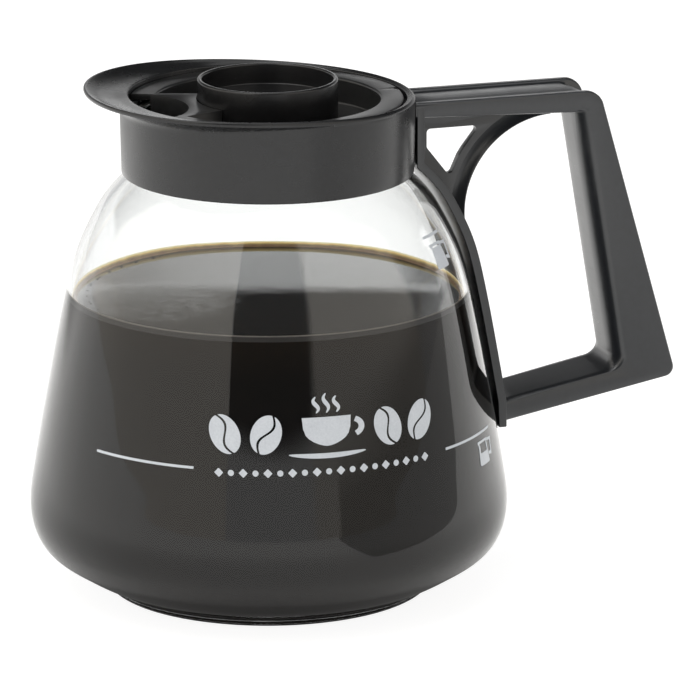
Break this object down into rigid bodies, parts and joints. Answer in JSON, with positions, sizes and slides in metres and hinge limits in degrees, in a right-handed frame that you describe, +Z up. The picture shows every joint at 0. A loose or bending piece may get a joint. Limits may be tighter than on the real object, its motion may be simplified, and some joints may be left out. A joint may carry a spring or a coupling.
{
  "type": "glass coffee decanter",
  "caption": "Wide-bellied clear glass coffee decanter with a black pouring collar, a lift-off lid with a raised fill cup, and a black loop handle on a spine strip.",
  "frame": {"origin": "centre of the flat base, on the surface the decanter rests on", "axes": "+Z up, +X towards the handle, -X towards the pouring lip, +Y to the right, seen from behind the handle"},
  "size_m": [0.2194, 0.1598, 0.1729],
  "materials": {
    "glass": "clear blown glass, polished",
    "collar_plastic": "black moulded plastic, satin",
    "handle_plastic": "black moulded plastic, fine satin grain",
    "lid_plastic": "black moulded plastic, satin",
    "cup_plastic": "black moulded plastic, satin, a little glossier than the lid",
    "seal_silicone": "grey silicone",
    "pad_silicone": "milky clear silicone",
    "screw_steel": "plain stainless steel"
  },
  "bodies": {
    "jug": {"glass_vessel": "glass", "pouring_collar": "collar_plastic", "neck_seal": "seal_silicone", "handle": "handle_plastic", "handle_foot_pad": "pad_silicone", "handle_screw_upper": "screw_steel", "handle_screw_lower": "screw_steel"},
    "lid_set": {"lid": "lid_plastic", "fill_cup": "cup_plastic"}
  },
  "joints": [
    {"name": "lid_lift", "type": "slide", "parent": "jug", "child": "lid_set", "axis": [0, 0, 1], "range_m": [0, 0.06]}
  ]
}
